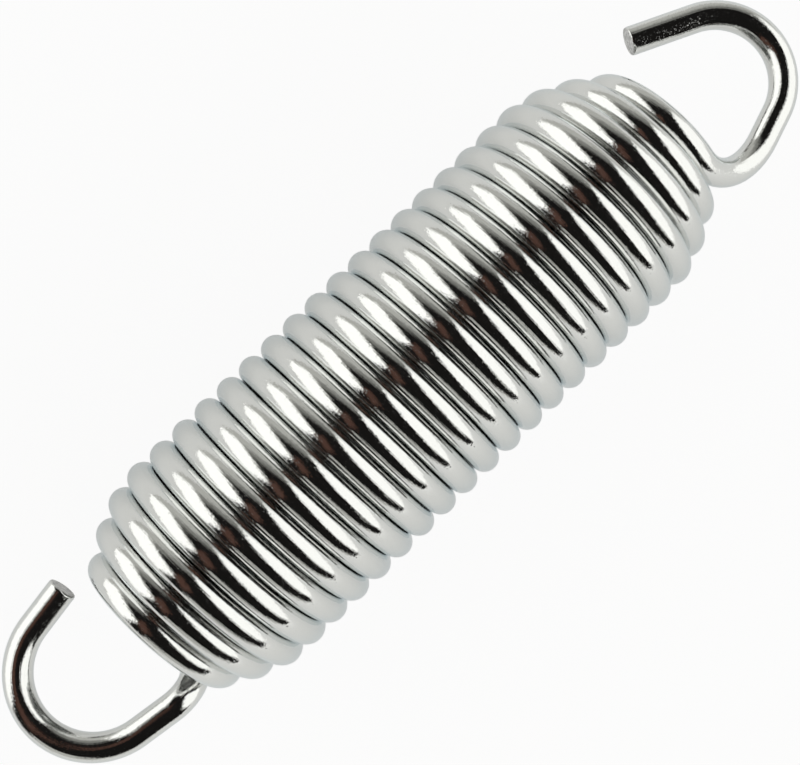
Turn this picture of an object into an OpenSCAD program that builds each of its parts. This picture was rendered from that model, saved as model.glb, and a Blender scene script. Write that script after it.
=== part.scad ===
// Extension spring: one round steel wire, close-wound, with tapered ends and an open hook at each end.
// The coil lies along X and rests on its side on Z = 0. Both hooks lie level, at the height of the coil's axis.

/* [Wire] */
// Diameter of the round wire
wire_d = 3; // [2:0.1:3.4]
// Bevel left on the wire's cut ends by the shear
cut_bevel = 0.2; // [0.05:0.05:0.5]

/* [Coil] */
// Outside diameter of the full turns
coil_od = 25.2; // [22:0.2:40]
// Number of turns, counted from hook to hook
turns = 24; // [12:1:24]
// Space left between one turn and the next while the spring is unloaded
turn_gap = 0.02; // [0:0.01:1]

/* [Tapered ends] */
// Number of turns that grow from the end diameter to the full one
taper_turns = 3.3; // [2.6:0.1:5]
// Outside diameter that each taper runs down to
taper_end_od = 15.8; // [14:0.1:18]
// How late the taper falls off: 1 is a straight cone, more is a rounded shoulder
taper_curve = 1.5; // [1.3:0.1:2.5]
// Extra space between the smallest turns
taper_gap = 0.55; // [0.4:0.05:1]
// How far the last turn leans out towards the root of its hook
taper_lean = 0.45; // [0:0.05:1]

/* [Left hook] */
// Inside radius of the bend that turns the wire out of the coil
left_bend_r = 2; // [1.5:0.1:4]
// Tilt of the straight shank towards the coil's axis, in degrees
left_tilt = 8; // [0:1:15]
// Length of the straight shank
left_shank = 4; // [1:0.1:20]
// Inside radius of the hook
left_hook_r = 5.9; // [4:0.1:7]
// Angle that the hook turns through, in degrees
left_sweep = 163; // [120:1:180]
// Straight length from the hook's round to the cut end
left_tip = 4.7; // [2:0.1:6]

/* [Right hook] */
// Inside radius of the bend that turns the wire out of the coil
right_bend_r = 5; // [2:0.1:5.5]
// Tilt of the straight shank towards the coil's axis, in degrees
right_tilt = 19; // [0:1:20]
// Length of the straight shank
right_shank = 3.2; // [1:0.1:20]
// Inside radius of the hook
right_hook_r = 5.4; // [4:0.1:7]
// Angle that the hook turns through, in degrees
right_sweep = 137; // [120:1:180]
// Straight length from the hook's round to the cut end
right_tip = 7.3; // [2:0.1:8]

/* [Hidden] */

// Colour of bright zinc plating
ZINC = [0.78, 0.79, 0.80];

// The wire's section is an octagon with its flats towards the neighbouring turns.
// Its corners stand out far enough to give it the round wire's area.
wire_sides = 8;
corner_r = wire_d / 2 * sqrt(2 * PI / (wire_sides * sin(360 / wire_sides)));

// Sections along one turn
turn_sections = 28;
// Angle between the sections along a bend and along a hook
bend_step = 13;

mean_r = (coil_od - wire_d) / 2;
end_r = (taper_end_od - wire_d) / 2;
pitch = wire_d + turn_gap;

// Strips in the sum that adds up a taper's length
strips = 24;
// Share of a turn that the direction of the wire is taken over
turn_nudge = 0.0005;
// The wire leaves the coil within this share of a turn, found by halving it so many times
quarter = 0.25;
halvings = 20;

function unit(v) = v / norm(v);
function sum(list) = list * [for (x = list) 1];

// The part of v that is square to the unit vector t, at length 1
function square_to(v, t) = unit(v - t * (v * t));

// In these five, m counts turns inwards from the nearer end of the coil.
// 1 at the very end, falling to 0 where the turns reach full size
function taper_left(m) = max(0, 1 - m / taper_turns);

// Radius of the wire's centreline
function turn_r(m) = mean_r - (mean_r - end_r) * pow(taper_left(m), taper_curve);

// Growth of that radius over one turn
function turn_growth(m) =
    (mean_r - end_r) * taper_curve / taper_turns * pow(taper_left(m), taper_curve - 1);

// Advance along the axis over one turn, with neighbours kept clear along the slope of the taper
function turn_advance(m) =
    let (slant = pitch + taper_gap * taper_left(m))
    sqrt(max(pow(slant, 2) - pow(turn_growth(m), 2), pow(slant / 2, 2)));

// Length that a taper saves on a plain coil, from m turns in to where it ends
function taper_saving(m) =
    m >= taper_turns ? 0 :
    let (strip = (taper_turns - m) / strips)
    strip * sum([for (i = [0 : strips - 1]) pitch - turn_advance(m + (i + 0.5) * strip)]);

// How far the last turn at one end has leaned out, m turns in
function lean(m) = taper_lean * pow(max(0, 1 - m), 2);

// The coil's centreline after n turns: it starts at the foot of the left hook, runs under the coil, and is right-handed
function coil_point(n) =
    let (
        inward = min(n, turns - n),
        r = turn_r(inward),
        x = pitch * (n - turns / 2) + taper_saving(n) - taper_saving(turns - n)
    )
    [x, -r * cos(360 * n) - lean(inward), -r * sin(360 * n)];

function coil_dir(n) = unit(coil_point(n + turn_nudge) - coil_point(n - turn_nudge));

// Outward from the coil's axis, for setting the octagon's flats
function coil_out(n) = [0, -cos(360 * n), -sin(360 * n)];

// The bend that takes the wire out of the coil, early turns before the foot of a hook, and into the hook's shank:
// [turns along the coil, shank direction, direction of the swing, angle of the bend, end of the bend].
// side is -1 for the left end of the spring and 1 for the right.
function end_bend(side, early, bend_r, tilt) =
    let (
        n = side < 0 ? early : turns - early,
        leave = side * coil_dir(n),
        along = [side * cos(tilt), sin(tilt), 0],
        swing = square_to(leave, along),
        turn = acos(leave * along)
    )
    [n, along, swing, turn, coil_point(n) + bend_r * (sin(turn) * along + (1 - cos(turn)) * swing)];

// Halves the span from low to high until the bend ends level with the coil's axis
function level_bend(side, bend_r, tilt, low = 0, high = quarter, steps = halvings) =
    let (
        middle = (low + high) / 2,
        bend = end_bend(side, middle, bend_r, tilt)
    )
    steps == 0 ? bend :
    side * bend[4].z > 0 ? level_bend(side, bend_r, tilt, low, middle, steps - 1) :
    level_bend(side, bend_r, tilt, middle, high, steps - 1);

// One end of the wire, from its bend to the cut: a list of [point, direction]
function end_path(side, bend, bend_r, shank, hook_r, sweep, tip) =
    let (
        along = bend[1],
        swing = bend[2],
        turn = bend[3],
        root = bend[4],
        inner = [-side * along.y, side * along.x, 0],
        bend_count = ceil(turn / bend_step),
        hook_start = root + shank * along,
        hook_count = ceil(sweep / bend_step),
        hook_end = hook_start + hook_r * (sin(sweep) * along + (1 - cos(sweep)) * inner),
        tip_dir = cos(sweep) * along + sin(sweep) * inner
    )
    concat(
        [for (i = [1 : bend_count])
            let (a = turn * (1 - i / bend_count))
            [root - bend_r * (sin(a) * along + (1 - cos(a)) * swing), cos(a) * along + sin(a) * swing]],
        [for (i = [0 : hook_count])
            let (a = sweep * i / hook_count)
            [hook_start + hook_r * (sin(a) * along + (1 - cos(a)) * inner), cos(a) * along + sin(a) * inner]],
        [[hook_end + (tip - cut_bevel) * tip_dir, tip_dir]],
        [[hook_end + tip * tip_dir, tip_dir]]
    );

// Carries a direction square to the wire along a path, without twist
function carried(path, start) =
    [for (i = 0, u = square_to(start, path[0][1]); i < len(path);
        i = i + 1, u = i < len(path) ? square_to(u, path[i][1]) : u) u];

// An octagon round a point of the wire. reach is its corner radius.
function section(point, dir, out, reach) =
    let (
        u = square_to(out, dir),
        v = cross(dir, u)
    )
    [for (k = [0 : wire_sides - 1])
        let (a = (k + 0.5) * 360 / wire_sides)
        point + reach * (cos(a) * u + sin(a) * v)];

function reversed(list) = [for (i = [len(list) - 1 : -1 : 0]) list[i]];

// Sections of one end, from the coil to the cut. The last one is the bevelled face.
function end_sections(side, bend, bend_r, shank, hook_r, sweep, tip) =
    let (
        path = end_path(side, bend, bend_r, shank, hook_r, sweep, tip),
        outs = carried(path, coil_out(bend[0])),
        last = len(path) - 1
    )
    [for (i = [0 : last])
        section(path[i][0], side * path[i][1], outs[i], corner_r - (i == last ? cut_bevel : 0))];

// Radii to the wire's centreline
left_bend_mid = left_bend_r + wire_d / 2;
right_bend_mid = right_bend_r + wire_d / 2;
left_hook_mid = left_hook_r + wire_d / 2;
right_hook_mid = right_hook_r + wire_d / 2;

left_bend = level_bend(-1, left_bend_mid, left_tilt);
right_bend = level_bend(1, right_bend_mid, right_tilt);

// Sections stand half a step off the lowest point, so that the coil rests on flats
first_section = ceil(left_bend[0] * turn_sections);
last_section = floor(right_bend[0] * turn_sections) - 1;
coil_stations = concat(
    [left_bend[0]],
    [for (i = [first_section : last_section]) (i + 0.5) / turn_sections],
    [right_bend[0]]
);

sections = concat(
    reversed(end_sections(-1, left_bend, left_bend_mid, left_shank, left_hook_mid, left_sweep, left_tip)),
    [for (n = coil_stations) section(coil_point(n), coil_dir(n), coil_out(n), corner_r)],
    end_sections(1, right_bend, right_bend_mid, right_shank, right_hook_mid, right_sweep, right_tip)
);

wire_points = [for (s = sections) for (p = s) p];

// The middle of the whole part in X and Y, and its lowest point
x_all = [for (p = wire_points) p.x];
y_all = [for (p = wire_points) p.y];
z_all = [for (p = wire_points) p.z];
middle = [(min(x_all) + max(x_all)) / 2, (min(y_all) + max(y_all)) / 2, min(z_all)];

function corner(ring, k) = ring * wire_sides + k % wire_sides;

skin_faces = [
    for (i = [0 : len(sections) - 2])
        for (k = [0 : wire_sides - 1])
            for (face = [
                [corner(i, k), corner(i + 1, k + 1), corner(i, k + 1)],
                [corner(i, k), corner(i + 1, k), corner(i + 1, k + 1)]
            ]) face
];
start_faces = [for (k = [1 : wire_sides - 2]) [corner(0, 0), corner(0, k), corner(0, k + 1)]];
last_ring = len(sections) - 1;
end_faces = [
    for (k = [1 : wire_sides - 2]) [corner(last_ring, 0), corner(last_ring, k + 1), corner(last_ring, k)]
];

module spring_wire() {
    color(ZINC)
        translate(-middle)
            polyhedron(points = wire_points, faces = concat(skin_faces, start_faces, end_faces));
}

spring_wire();
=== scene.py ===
import math

import bpy
from mathutils import Matrix, Vector


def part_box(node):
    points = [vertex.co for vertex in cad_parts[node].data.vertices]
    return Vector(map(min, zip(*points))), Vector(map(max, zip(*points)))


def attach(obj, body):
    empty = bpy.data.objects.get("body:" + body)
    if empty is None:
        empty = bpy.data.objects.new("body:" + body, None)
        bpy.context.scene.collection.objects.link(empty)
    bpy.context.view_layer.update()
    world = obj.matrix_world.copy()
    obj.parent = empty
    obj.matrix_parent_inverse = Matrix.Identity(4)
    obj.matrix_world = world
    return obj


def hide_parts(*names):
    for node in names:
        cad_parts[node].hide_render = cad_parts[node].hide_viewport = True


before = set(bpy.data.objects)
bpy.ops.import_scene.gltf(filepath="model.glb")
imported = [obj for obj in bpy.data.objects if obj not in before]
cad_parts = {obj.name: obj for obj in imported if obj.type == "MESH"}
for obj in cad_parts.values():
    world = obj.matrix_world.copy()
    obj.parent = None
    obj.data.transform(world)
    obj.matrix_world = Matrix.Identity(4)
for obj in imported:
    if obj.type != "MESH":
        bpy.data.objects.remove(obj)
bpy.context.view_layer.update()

MM = 0.001

# Sizes of the spring, as its solid has them, in millimetres and degrees
WIRE_D = 3.0
CUT_BEVEL = 0.2
COIL_OD = 25.2
TURNS = 24
TURN_GAP = 0.02
TAPER_TURNS = 3.3
TAPER_END_OD = 15.8
TAPER_CURVE = 1.5
TAPER_GAP = 0.55
TAPER_LEAN = 0.45
LEFT_HOOK = {"side": -1, "bend_r": 2.0, "tilt": 8, "shank": 4.0, "hook_r": 5.9, "sweep": 163, "tip": 4.7}
RIGHT_HOOK = {"side": 1, "bend_r": 5.0, "tilt": 19, "shank": 3.2, "hook_r": 5.4, "sweep": 137, "tip": 7.3}

WIRE_R = WIRE_D / 2
MEAN_R = (COIL_OD - WIRE_D) / 2
END_R = (TAPER_END_OD - WIRE_D) / 2
PITCH = WIRE_D + TURN_GAP

# How finely the wire is swept: rings in a turn, sides of a ring, and the most degrees between
# two rings of a hook and of a bend
RINGS_A_TURN = 90
WIRE_SIDES = 40
HOOK_STEP = 3
BEND_STEP = 6

# Strips in the sum that adds up a taper's length
STRIPS = 24
# Share of a turn that the wire's direction is taken over, to either side
TURN_NUDGE = 0.0005
# The wire leaves the coil within this share of a turn, found by halving it so many times
QUARTER_TURN = 0.25
HALVINGS = 20

# The shear rolls the wire's edge over before it breaks through. Each pair is a ring's distance
# from the cut, and how far the wire is pulled in there.
ROLLED_EDGE = (
    (1.6, 0),
    (0.8, 0),
    (0.34, 0),
    (0.2, 0.012),
    (0.09, 0.05),
    (0.03, 0.105),
    (0, CUT_BEVEL),
)
# The sheared finish reaches this far back from the cut
CUT_EDGE = 0.1


# Path of the wire. m counts turns inwards from the nearer end of the coil.


def taper_left(m):
    """1 at the very end of the coil, falling to 0 where the turns reach full size."""
    return max(0.0, 1 - m / TAPER_TURNS)


def turn_radius(m):
    """Radius of the wire's centreline round the coil's axis."""
    return MEAN_R - (MEAN_R - END_R) * taper_left(m) ** TAPER_CURVE


def turn_growth(m):
    """Growth of that radius over one turn."""
    return (MEAN_R - END_R) * TAPER_CURVE / TAPER_TURNS * taper_left(m) ** (TAPER_CURVE - 1)


def turn_advance(m):
    """Advance along the axis over one turn, with neighbours kept clear along the taper's slope."""
    slant = PITCH + TAPER_GAP * taper_left(m)
    return math.sqrt(max(slant**2 - turn_growth(m) ** 2, (slant / 2) ** 2))


def taper_saving(m):
    """Length that a taper saves on a plain coil, from m turns in to where it ends."""
    if m >= TAPER_TURNS:
        return 0.0
    strip = (TAPER_TURNS - m) / STRIPS
    return strip * sum(PITCH - turn_advance(m + (i + 0.5) * strip) for i in range(STRIPS))


def coil_point(n):
    """The coil's centreline after n turns. It is right-handed and starts under the left hook."""
    inward = min(n, TURNS - n)
    lean = TAPER_LEAN * max(0.0, 1 - inward) ** 2
    r = turn_radius(inward)
    a = 2 * math.pi * n
    x = PITCH * (n - TURNS / 2) + taper_saving(n) - taper_saving(TURNS - n)
    return Vector((x, -r * math.cos(a) - lean, -r * math.sin(a)))


def coil_direction(n):
    """The way that the wire runs after n turns."""
    return (coil_point(n + TURN_NUDGE) - coil_point(n - TURN_NUDGE)).normalized()


def arc(radius, angle, along, inner):
    """From a bend's start to a point on it. The wire enters in the direction along and turns to inner."""
    return radius * (math.sin(angle) * along + (1 - math.cos(angle)) * inner)


def hook_bend(hook, early):
    """The bend that takes the wire out of the coil, early turns before the hook's foot: turns along
    the coil, direction of the shank, direction of the swing, angle, and where the bend ends."""
    n = early if hook["side"] < 0 else TURNS - early
    tilt = math.radians(hook["tilt"])
    leave = hook["side"] * coil_direction(n)
    along = Vector((hook["side"] * math.cos(tilt), math.sin(tilt), 0))
    swing = (leave - along * leave.dot(along)).normalized()
    turn = math.acos(leave.dot(along))
    root = coil_point(n) + arc(hook["bend_r"] + WIRE_R, turn, along, swing)
    return n, along, swing, turn, root


def level_bend(hook):
    """Halves a quarter turn until the bend ends level with the coil's axis."""
    low, high = 0.0, QUARTER_TURN
    for _ in range(HALVINGS):
        early = (low + high) / 2
        if hook["side"] * hook_bend(hook, early)[-1].z > 0:
            high = early
        else:
            low = early
    return hook_bend(hook, (low + high) / 2)


def hook_path(hook, bend):
    """Points of one hook, from the coil out to the cut, and the wire's radius at each."""
    _, along, swing, turn, root = bend
    inner = hook["side"] * Vector((-along.y, along.x, 0))
    sweep = math.radians(hook["sweep"])
    points = []
    steps = math.ceil(math.degrees(turn) / BEND_STEP)
    for i in range(1, steps + 1):
        points.append(root - arc(hook["bend_r"] + WIRE_R, turn * (1 - i / steps), along, swing))
    start = root + hook["shank"] * along
    steps = math.ceil(hook["sweep"] / HOOK_STEP)
    for i in range(steps + 1):
        points.append(start + arc(hook["hook_r"] + WIRE_R, sweep * i / steps, along, inner))
    reaches = [WIRE_R] * len(points)
    hook_end = points[-1]
    out = math.cos(sweep) * along + math.sin(sweep) * inner
    for back, pulled_in in ROLLED_EDGE:
        points.append(hook_end + (hook["tip"] - back) * out)
        reaches.append(WIRE_R - pulled_in)
    return points, reaches


def whole_path():
    """Every point of the wire from the left cut to the right one, and its radius there, in metres."""
    left_bend = level_bend(LEFT_HOOK)
    right_bend = level_bend(RIGHT_HOOK)
    left, left_reaches = hook_path(LEFT_HOOK, left_bend)
    right, right_reaches = hook_path(RIGHT_HOOK, right_bend)
    first, last = left_bend[0], right_bend[0]
    rings = round((last - first) * RINGS_A_TURN)
    coil = [coil_point(first + (last - first) * i / rings) for i in range(rings + 1)]
    points = left[::-1] + coil + right
    reaches = left_reaches[::-1] + [WIRE_R] * len(coil) + right_reaches
    # The path is set in the middle of the solid's own box
    low = [min(p[i] for p in points) for i in range(3)]
    high = [max(p[i] for p in points) for i in range(3)]
    box_low, box_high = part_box("spring_wire")
    shift = [(box_low[i] + box_high[i]) / 2 / MM - (low[i] + high[i]) / 2 for i in range(3)]
    return [(p + Vector(shift)) * MM for p in points], [r * MM for r in reaches]


# Helpers for nodes


def feed(tree, node, inputs):
    """Gives each input that is named a plain value, or joins it to another node's output."""
    for name, value in inputs.items():
        if isinstance(value, bpy.types.NodeSocket):
            tree.links.new(value, node.inputs[name])
        else:
            node.inputs[name].default_value = value


def add_node(tree, kind, inputs=None, **settings):
    """A new node, with its settings and with what its inputs get."""
    node = tree.nodes.new(kind)
    for name, value in settings.items():
        setattr(node, name, value)
    feed(tree, node, inputs or {})
    return node


def add_math(tree, operation, *values, **settings):
    """The result of a sum on numbers and other nodes' outputs."""
    inputs = dict(enumerate(values))
    return add_node(tree, "ShaderNodeMath", inputs, operation=operation, **settings).outputs["Value"]


def new_material(name):
    """A material of that name, with nodes."""
    made = bpy.data.materials.new(name)
    made.use_nodes = True
    return made


# The wire, swept by nodes


def wire_sweep_tree():
    """Sweeps a round section along a path of edges, whose own values of reach are its radius there,
    and writes where each point of the skin lies: metres along the wire, and its place on the round."""
    tree = bpy.data.node_groups.new("Wire sweep", "GeometryNodeTree")
    face = tree.interface
    face.new_socket("Path", in_out="INPUT", socket_type="NodeSocketGeometry")
    sides = face.new_socket("Sides", in_out="INPUT", socket_type="NodeSocketInt")
    zinc = face.new_socket("Zinc", in_out="INPUT", socket_type="NodeSocketMaterial")
    face.new_socket("Wire", in_out="OUTPUT", socket_type="NodeSocketGeometry")
    given = tree.nodes.new("NodeGroupInput").outputs
    group_out = tree.nodes.new("NodeGroupOutput")

    to_curve = add_node(tree, "GeometryNodeMeshToCurve", {"Mesh": given["Path"]})
    walked = add_node(tree, "GeometryNodeSplineParameter")
    path_inputs = {
        "Geometry": to_curve.outputs["Curve"],
        "Name": "walked",
        "Value": walked.outputs["Length"],
    }
    path = add_node(
        tree, "GeometryNodeStoreNamedAttribute", path_inputs, data_type="FLOAT", domain="POINT"
    )
    unit_ring = {"Resolution": given["Sides"], "Radius": 1.0}
    circle = add_node(tree, "GeometryNodeCurvePrimitiveCircle", unit_ring, mode="RADIUS")
    place = add_node(tree, "GeometryNodeInputPosition")
    round_inputs = {
        "Geometry": circle.outputs["Curve"],
        "Name": "round",
        "Value": place.outputs["Position"],
    }
    ring = add_node(
        tree, "GeometryNodeStoreNamedAttribute", round_inputs, data_type="FLOAT_VECTOR", domain="POINT"
    )
    reach = add_node(tree, "GeometryNodeInputNamedAttribute", {"Name": "reach"}, data_type="FLOAT")
    sweep_inputs = {
        "Curve": path.outputs["Geometry"],
        "Profile Curve": ring.outputs["Geometry"],
        "Scale": reach.outputs["Attribute"],
        "Fill Caps": True,
    }
    sweep = add_node(tree, "GeometryNodeCurveToMesh", sweep_inputs)
    whole = add_node(tree, "GeometryNodeRealizeInstances", {"Geometry": sweep.outputs["Mesh"]})
    finish_inputs = {"Geometry": whole.outputs["Geometry"], "Material": given["Zinc"]}
    finish = add_node(tree, "GeometryNodeSetMaterial", finish_inputs)
    feed(tree, group_out, {"Wire": finish.outputs["Geometry"]})
    return tree, {"sides": sides.identifier, "zinc": zinc.identifier}


def swept_wire(zinc, cut):
    """The whole wire as one plain mesh, plated, with the sheared finish at its two cuts."""
    points, reaches = whole_path()
    path = bpy.data.meshes.new("wire_path")
    path.from_pydata([tuple(p) for p in points], [(i, i + 1) for i in range(len(points) - 1)], [])
    path.attributes.new("reach", "FLOAT", "POINT").data.foreach_set("value", reaches)
    holder = bpy.data.objects.new("wire_path", path)
    bpy.context.scene.collection.objects.link(holder)
    tree, sockets = wire_sweep_tree()
    modifier = holder.modifiers.new("Sweep", "NODES")
    modifier.node_group = tree
    modifier[sockets["sides"]] = WIRE_SIDES
    modifier[sockets["zinc"]] = zinc
    evaluated = holder.evaluated_get(bpy.context.evaluated_depsgraph_get())
    mesh = bpy.data.meshes.new_from_object(evaluated)
    holder.modifiers.clear()
    bpy.data.objects.remove(holder)

    mesh.name = "spring_coil_and_hooks"
    mesh.materials.clear()
    mesh.materials.append(zinc)
    mesh.materials.append(cut)
    walked = [point.value for point in mesh.attributes["walked"].data]
    edge = CUT_EDGE * MM
    far_edge = max(walked) - edge
    for face in mesh.polygons:
        along = [walked[v] for v in face.vertices]
        face.material_index = 1 if max(along) < edge or min(along) > far_edge else 0
        # Only the two end faces, which have more than four corners, are flat
        face.use_smooth = len(face.vertices) == 4
    piece = bpy.data.objects.new("spring_coil_and_hooks", mesh)
    bpy.context.scene.collection.objects.link(piece)
    return piece


# Finishes

# How often the plating's marks repeat in a metre along the wire, and in a wire's radius across it
STREAK_REPEATS = (60.0, 9.0)
GRAIN_REPEATS = (9000.0, 13.5)
# The streaks' noise and each grain's three random shares run from 0 to 1, with this as their middle
MIDDLE_SHARE = 0.5
# A grain is dull where its first share is above this, and the dullest grain is so much rougher
DULL_SHARE = 0.8
DULL_ROUGHNESS = 0.16
# Colour of the plating seen straight on, and its tint seen edge on
ZINC = (0.80, 0.805, 0.79, 1)
ZINC_TINT = (0.915, 0.96, 0.99, 1)


def drawn_wire_group():
    """The marks that drawing and coiling leave on the wire under its plating."""
    group = bpy.data.node_groups.new("Drawn wire", "ShaderNodeTree")
    face = group.interface
    face.new_socket("Streak strength", in_out="INPUT", socket_type="NodeSocketFloat")
    face.new_socket("Grain strength", in_out="INPUT", socket_type="NodeSocketFloat")
    face.new_socket("Streaks", in_out="OUTPUT", socket_type="NodeSocketFloat")
    face.new_socket("Grain tilt", in_out="OUTPUT", socket_type="NodeSocketVector")
    face.new_socket("Dull grains", in_out="OUTPUT", socket_type="NodeSocketFloat")
    given = group.nodes.new("NodeGroupInput").outputs
    group_out = group.nodes.new("NodeGroupOutput")
    walked = add_node(group, "ShaderNodeAttribute", attribute_name="walked").outputs["Fac"]
    around = add_node(group, "ShaderNodeAttribute", attribute_name="round").outputs["Vector"]
    on_round = add_node(group, "ShaderNodeSeparateXYZ", {"Vector": around}).outputs

    def unrolled(repeats):
        """A place in a space where the wire is straight, so the pattern has no seam."""
        along_repeats, round_repeats = repeats
        axes = {
            "X": add_math(group, "MULTIPLY", walked, along_repeats),
            "Y": add_math(group, "MULTIPLY", on_round["X"], round_repeats),
            "Z": add_math(group, "MULTIPLY", on_round["Y"], round_repeats),
        }
        return add_node(group, "ShaderNodeCombineXYZ", axes).outputs["Vector"]

    streak_inputs = {"Vector": unrolled(STREAK_REPEATS), "Scale": 1.0, "Detail": 3.0, "Roughness": 0.6}
    streak = add_node(group, "ShaderNodeTexNoise", streak_inputs).outputs["Fac"]
    centred = add_math(group, "SUBTRACT", streak, MIDDLE_SHARE)

    grain_inputs = {"Vector": unrolled(GRAIN_REPEATS), "Scale": 1.0}
    grains = add_node(group, "ShaderNodeTexVoronoi", grain_inputs).outputs["Color"]
    middle = (MIDDLE_SHARE, MIDDLE_SHARE, MIDDLE_SHARE)
    tilt_inputs = {0: grains, 1: middle}
    tilt = add_node(group, "ShaderNodeVectorMath", tilt_inputs, operation="SUBTRACT").outputs["Vector"]
    # Most grains lie nearly flat and a few stand well out, so each tilt grows with its own square
    square = add_node(group, "ShaderNodeVectorMath", {0: tilt, 1: tilt}, operation="DOT_PRODUCT")
    growth = add_math(group, "MULTIPLY", square.outputs["Value"], given["Grain strength"])
    stand_out = add_node(group, "ShaderNodeVectorMath", {0: tilt, "Scale": growth}, operation="SCALE")

    shares = add_node(group, "ShaderNodeSeparateColor", {"Color": grains}).outputs
    dull_inputs = {"Value": shares["Red"], "From Min": DULL_SHARE, "From Max": 1.0}
    dull = add_node(group, "ShaderNodeMapRange", dull_inputs)
    marks_out = {
        "Streaks": add_math(group, "MULTIPLY", centred, given["Streak strength"]),
        "Grain tilt": stand_out.outputs["Vector"],
        "Dull grains": dull.outputs["Result"],
    }
    feed(group, group_out, marks_out)
    return group


def zinc_plate(marks):
    """Bright zinc plating over drawn steel."""
    made = new_material("bright_zinc_plate")
    tree = made.node_tree
    strengths = {"Streak strength": 0.6, "Grain strength": 0.17}
    wear = add_node(tree, "ShaderNodeGroup", strengths, node_tree=marks).outputs
    # The plating is a little rougher where a streak stands out
    rough_inputs = {
        "Value": wear["Streaks"],
        "From Min": -0.3,
        "From Max": 0.3,
        "To Min": 0.03,
        "To Max": 0.09,
    }
    rough = add_node(tree, "ShaderNodeMapRange", rough_inputs).outputs["Result"]
    # A streak stands some thousandths of a millimetre high
    bump_inputs = {"Strength": 1.0, "Distance": 0.000024, "Height": wear["Streaks"]}
    bump = add_node(tree, "ShaderNodeBump", bump_inputs).outputs["Normal"]
    tilt_inputs = {0: bump, 1: wear["Grain tilt"]}
    tilted = add_node(tree, "ShaderNodeVectorMath", tilt_inputs, operation="ADD").outputs["Vector"]
    unit = add_node(tree, "ShaderNodeVectorMath", {0: tilted}, operation="NORMALIZE").outputs["Vector"]
    shader_inputs = {
        "Metallic": 1.0,
        "Base Color": ZINC,
        "Specular Tint": ZINC_TINT,
        "Roughness": add_math(tree, "MULTIPLY_ADD", wear["Dull grains"], DULL_ROUGHNESS, rough),
        "Normal": unit,
    }
    feed(tree, tree.nodes["Principled BSDF"], shader_inputs)
    return made


def sheared_end():
    """The grey, grainy face that the shear leaves, plated with the rest."""
    made = new_material("sheared_wire_end")
    tree = made.node_tree
    where = add_node(tree, "ShaderNodeTexCoord").outputs["Object"]
    grain_inputs = {"Vector": where, "Scale": 2600.0, "Detail": 4.0}
    grain = add_node(tree, "ShaderNodeTexNoise", grain_inputs).outputs["Fac"]
    tone_inputs = {"Value": grain, "From Min": 0.3, "From Max": 0.7, "To Min": 0.50, "To Max": 0.88}
    # The face is rough by some hundredths of a millimetre
    bump_inputs = {"Strength": 0.6, "Distance": 0.00006, "Height": grain}
    shader_inputs = {
        "Metallic": 0.85,
        "Base Color": add_node(tree, "ShaderNodeMapRange", tone_inputs).outputs["Result"],
        "Roughness": 0.5,
        "Normal": add_node(tree, "ShaderNodeBump", bump_inputs).outputs["Normal"],
    }
    feed(tree, tree.nodes["Principled BSDF"], shader_inputs)
    return made


# Studio

# The photo's camera, solved from the even turns of the coil
CAMERA_PLACE = Vector((-8.079, 0.126, 152.136)) * MM
CAMERA_RIGHT = Vector((0.71656, -0.69564, 0.05123)).normalized()
CAMERA_BACK = Vector((-0.07141, -0.00010, 0.99745)).normalized()
CAMERA_UP = CAMERA_BACK.cross(CAMERA_RIGHT).normalized()
SENSOR_WIDTH = 36
LENS = 62.5
LENS_SHIFT = (-0.0308, -0.0299)
NEAR, FAR = 0.01, 20

# The point that the studio stands round
MIDDLE = Vector((0, 0, 12.4)) * MM

# The lamp: metres across and away, watts, and degrees right and up from the camera's direction
LAMP_SIZE = 0.3
LAMP_AWAY = 0.6
LAMP_WATTS = 0.8
LAMP_SIDE = (40, -45)

# The table reaches this far to each side, and lies just under the round wire
TABLE_HALF = 1.5
TABLE_TOP = -0.000115
# Shares of plain white that the camera and the metal see instead of the lit table
WHITE_TO_CAMERA = 0.92
WHITE_TO_METAL = 0.17

# Squares along each side of a panel
PANEL_STEPS = 24

# Colours of the panels
DARK = (0.009, 0.0085, 0.008)
DIM = (0.2, 0.2, 0.185)
BROWN = (0.085, 0.045, 0.034)
SOFTBOX = (1.0, 1.0, 0.97)

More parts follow.
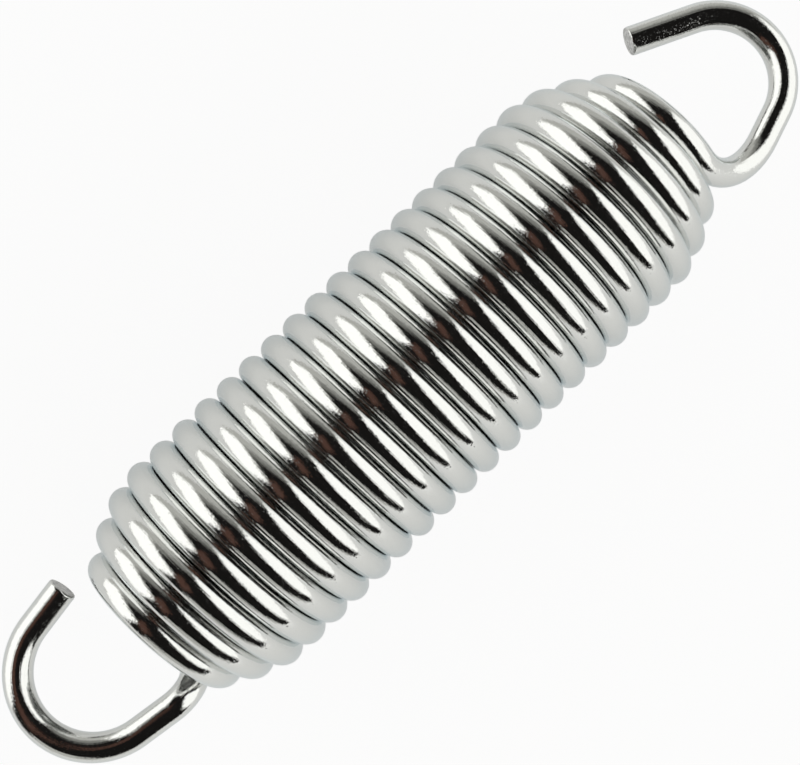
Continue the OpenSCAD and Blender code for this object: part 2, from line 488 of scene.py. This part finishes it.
# The panels that the wire mirrors. The room is dark over the camera and at the photographer's
# side, something reddish-brown is close to the lens, and two softboxes stand left and right.
PANELS = (
    {
        "name": "dim_over_camera",
        "rows": (((-29, 33), (38, 33)), ((-24, 72), (48, 72))),
        "away": 2.8,
        "color": DIM,
        "soft": (0.08, 0.5),
    },
    {
        "name": "dark_over_camera",
        "rows": (((-27, -9), (34, -9)), ((-25, 47), (42, 47))),
        "away": 3.0,
        "color": DARK,
    },
    {
        "name": "dark_front_left",
        "rows": (((-76, -73), (-42, -46)), ((-88, -34), (-27, -8))),
        "away": 3.0,
        "color": DARK,
    },
    {
        "name": "dark_front",
        "rows": (
            ((5, -80), (60, -78)),
            ((-42, -46), (74, -52)),
            ((-41, -43), (46, -48)),
            ((-27, -8), (34, -8)),
        ),
        "away": 3.0,
        "color": DARK,
    },
    {
        "name": "camera_front",
        "rows": (((-52, -52), (-12, -22)), ((-40, -8), (0, 22))),
        "away": 0.25,
        "color": BROWN,
        "soft": (0.35, 0.25),
    },
    {
        "name": "softbox_left",
        "rows": (((-88, -56), (-34, -15)), ((-84, 72), (-27, 72))),
        "away": 2.6,
        "color": SOFTBOX,
        "level": 1.27,
        "lights_room": True,
        "soft": (0.05, 0.1),
    },
    {
        "name": "softbox_right",
        "rows": (
            ((66, -54), (88, -50)),
            ((45, -38), (92, -30)),
            ((31, -6), (98, 2)),
            ((29, 26), (96, 32)),
            ((45, 66), (90, 62)),
        ),
        "away": 2.6,
        "color": SOFTBOX,
        "level": 1.2,
        "lights_room": True,
        "soft": (0.06, 0.1),
    },
)


def photo_camera():
    """A camera that stands and looks as the photo's did."""
    data = bpy.data.cameras.new("photo_camera")
    data.sensor_width = SENSOR_WIDTH
    data.lens = LENS
    data.shift_x, data.shift_y = LENS_SHIFT
    data.clip_start, data.clip_end = NEAR, FAR
    right = CAMERA_UP.cross(CAMERA_BACK)
    turned = Matrix((right, CAMERA_UP, CAMERA_BACK)).transposed().to_4x4()
    camera = bpy.data.objects.new("photo_camera", data)
    camera.matrix_world = Matrix.Translation(CAMERA_PLACE) @ turned
    bpy.context.scene.collection.objects.link(camera)
    bpy.context.scene.camera = camera


def toward(x_deg, y_deg):
    """A direction from the spring, as degrees to the photo's right and up from the camera's."""
    angle = math.radians(math.hypot(x_deg, y_deg))
    turn = math.atan2(y_deg, x_deg)
    flat = CAMERA_RIGHT * math.cos(turn) + CAMERA_UP * math.sin(turn)
    return (CAMERA_BACK * math.cos(angle) + flat * math.sin(angle)).normalized()


def between(start, end, share):
    """A point this share of the way from start to end."""
    return tuple(a * (1 - share) + b * share for a, b in zip(start, end))


def faded_in(edge, soft):
    """0 at a panel's edge, rising smoothly to 1 where the fade ends."""
    rise = min(1.0, edge / soft) if soft > 0 else 1.0
    return rise * rise * (3 - 2 * rise)


def panel_mesh(name, rows, away, soft):
    """A curved sheet of squares on a dome round the spring, with how well it covers at each point."""
    points, cover = [], []
    for j in range(PANEL_STEPS + 1):
        at = j / PANEL_STEPS * (len(rows) - 1)
        k = min(int(at), len(rows) - 2)
        upright = faded_in(min(j, PANEL_STEPS - j) / PANEL_STEPS, soft[1])
        for i in range(PANEL_STEPS + 1):
            u = i / PANEL_STEPS
            x_deg, y_deg = between(between(*rows[k], u), between(*rows[k + 1], u), at - k)
            points.append(tuple(MIDDLE + toward(x_deg, y_deg) * away))
            cover.append(faded_in(min(u, 1 - u), soft[0]) * upright)
    row = PANEL_STEPS + 1
    faces = [
        (j * row + i, j * row + i + 1, (j + 1) * row + i + 1, (j + 1) * row + i)
        for j in range(PANEL_STEPS)
        for i in range(PANEL_STEPS)
    ]
    mesh = bpy.data.meshes.new(name)
    mesh.from_pydata(points, [], faces)
    mesh.attributes.new("cover", "FLOAT", "POINT").data.foreach_set("value", cover)
    return mesh


def panel_glow(name, color, level):
    """A plain glow that thins out where its panel covers less."""
    made = new_material(name)
    tree = made.node_tree
    tree.nodes.clear()
    glow = add_node(tree, "ShaderNodeEmission", {"Color": (*color, 1), "Strength": level})
    cover = add_node(tree, "ShaderNodeAttribute", attribute_name="cover")
    clear = add_node(tree, "ShaderNodeBsdfTransparent")
    mix_inputs = {"Fac": cover.outputs["Fac"], 1: clear.outputs["BSDF"], 2: glow.outputs["Emission"]}
    mix = add_node(tree, "ShaderNodeMixShader", mix_inputs)
    add_node(tree, "ShaderNodeOutputMaterial", {"Surface": mix.outputs["Shader"]})
    return made


def dome_panel(name, rows, away, color, level=1, lights_room=False, soft=(0, 0)):
    """A panel of the studio, away metres from the spring. Its rows run from its foot to its head, each
    with its left and right end in degrees from the camera's direction. level is its brightness, where
    1 is white, and soft holds the shares of its width and height over which its edges fade out."""
    mesh = panel_mesh(name, rows, away, soft)
    mesh.materials.append(panel_glow(name, color, level))
    panel = bpy.data.objects.new(name, mesh)
    panel.visible_camera = False
    panel.visible_shadow = False
    panel.visible_diffuse = lights_room
    bpy.context.scene.collection.objects.link(panel)


def key_lamp():
    """A soft lamp low at the photo's right. It lights the table and lays the spring's faint shadow."""
    data = bpy.data.lights.new("key_lamp", "AREA")
    data.shape = "SQUARE"
    data.size = LAMP_SIZE
    data.energy = LAMP_WATTS
    lamp = bpy.data.objects.new("key_lamp", data)
    side = toward(*LAMP_SIDE)
    turned = side.to_track_quat("Z", "Y").to_matrix().to_4x4()
    lamp.matrix_world = Matrix.Translation(MIDDLE + side * LAMP_AWAY) @ turned
    lamp.visible_camera = False
    lamp.visible_glossy = False
    bpy.context.scene.collection.objects.link(lamp)


def white_floor():
    """A white table with the spring's faint shadow. The camera sees it nearly plain white."""
    around = ((-1, -1), (1, -1), (1, 1), (-1, 1))
    corners = [(x * TABLE_HALF, y * TABLE_HALF, TABLE_TOP) for x, y in around]
    mesh = bpy.data.meshes.new("table")
    mesh.from_pydata(corners, [], [(0, 1, 2, 3)])
    floor = bpy.data.objects.new("table", mesh)
    made = new_material("white_table")
    tree = made.node_tree
    shader = tree.nodes["Principled BSDF"]
    lit = {"Base Color": (0.85, 0.85, 0.85, 1), "Roughness": 0.9, "Specular IOR Level": 0.0}
    feed(tree, shader, lit)
    ray = add_node(tree, "ShaderNodeLightPath").outputs
    to_camera = add_math(tree, "MULTIPLY", ray["Is Camera Ray"], WHITE_TO_CAMERA)
    to_metal = add_math(tree, "MULTIPLY", ray["Is Glossy Ray"], WHITE_TO_METAL)
    either = add_math(tree, "ADD", to_camera, to_metal)
    white = add_math(tree, "ADD", either, ray["Is Transmission Ray"], use_clamp=True)
    glow = add_node(tree, "ShaderNodeEmission", {"Color": (1, 1, 1, 1)})
    mix_inputs = {"Fac": white, 1: shader.outputs["BSDF"], 2: glow.outputs["Emission"]}
    mix = add_node(tree, "ShaderNodeMixShader", mix_inputs)
    feed(tree, tree.nodes["Material Output"], {"Surface": mix.outputs["Shader"]})
    mesh.materials.append(made)
    bpy.context.scene.collection.objects.link(floor)


def studio_world():
    """Pale grey walls all round, white where the camera looks past the table."""
    world = bpy.data.worlds.new("studio")
    bpy.context.scene.world = world
    world.use_nodes = True
    tree = world.node_tree
    tree.nodes.clear()
    ray = add_node(tree, "ShaderNodeLightPath").outputs
    room = add_node(tree, "ShaderNodeBackground", {"Color": (0.48, 0.48, 0.45, 1)})
    white = add_node(tree, "ShaderNodeBackground", {"Color": (1, 1, 1, 1)})
    mix_inputs = {
        "Fac": ray["Is Camera Ray"],
        1: room.outputs["Background"],
        2: white.outputs["Background"],
    }
    mix = add_node(tree, "ShaderNodeMixShader", mix_inputs)
    add_node(tree, "ShaderNodeOutputWorld", {"Surface": mix.outputs["Shader"]})


marks = drawn_wire_group()
wire = swept_wire(zinc_plate(marks), sheared_end())
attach(wire, "root")
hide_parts("spring_wire")

photo_camera()
key_lamp()
white_floor()
studio_world()
for panel in PANELS:
    dome_panel(**panel)

scene = bpy.context.scene
scene.view_settings.view_transform = "Standard"
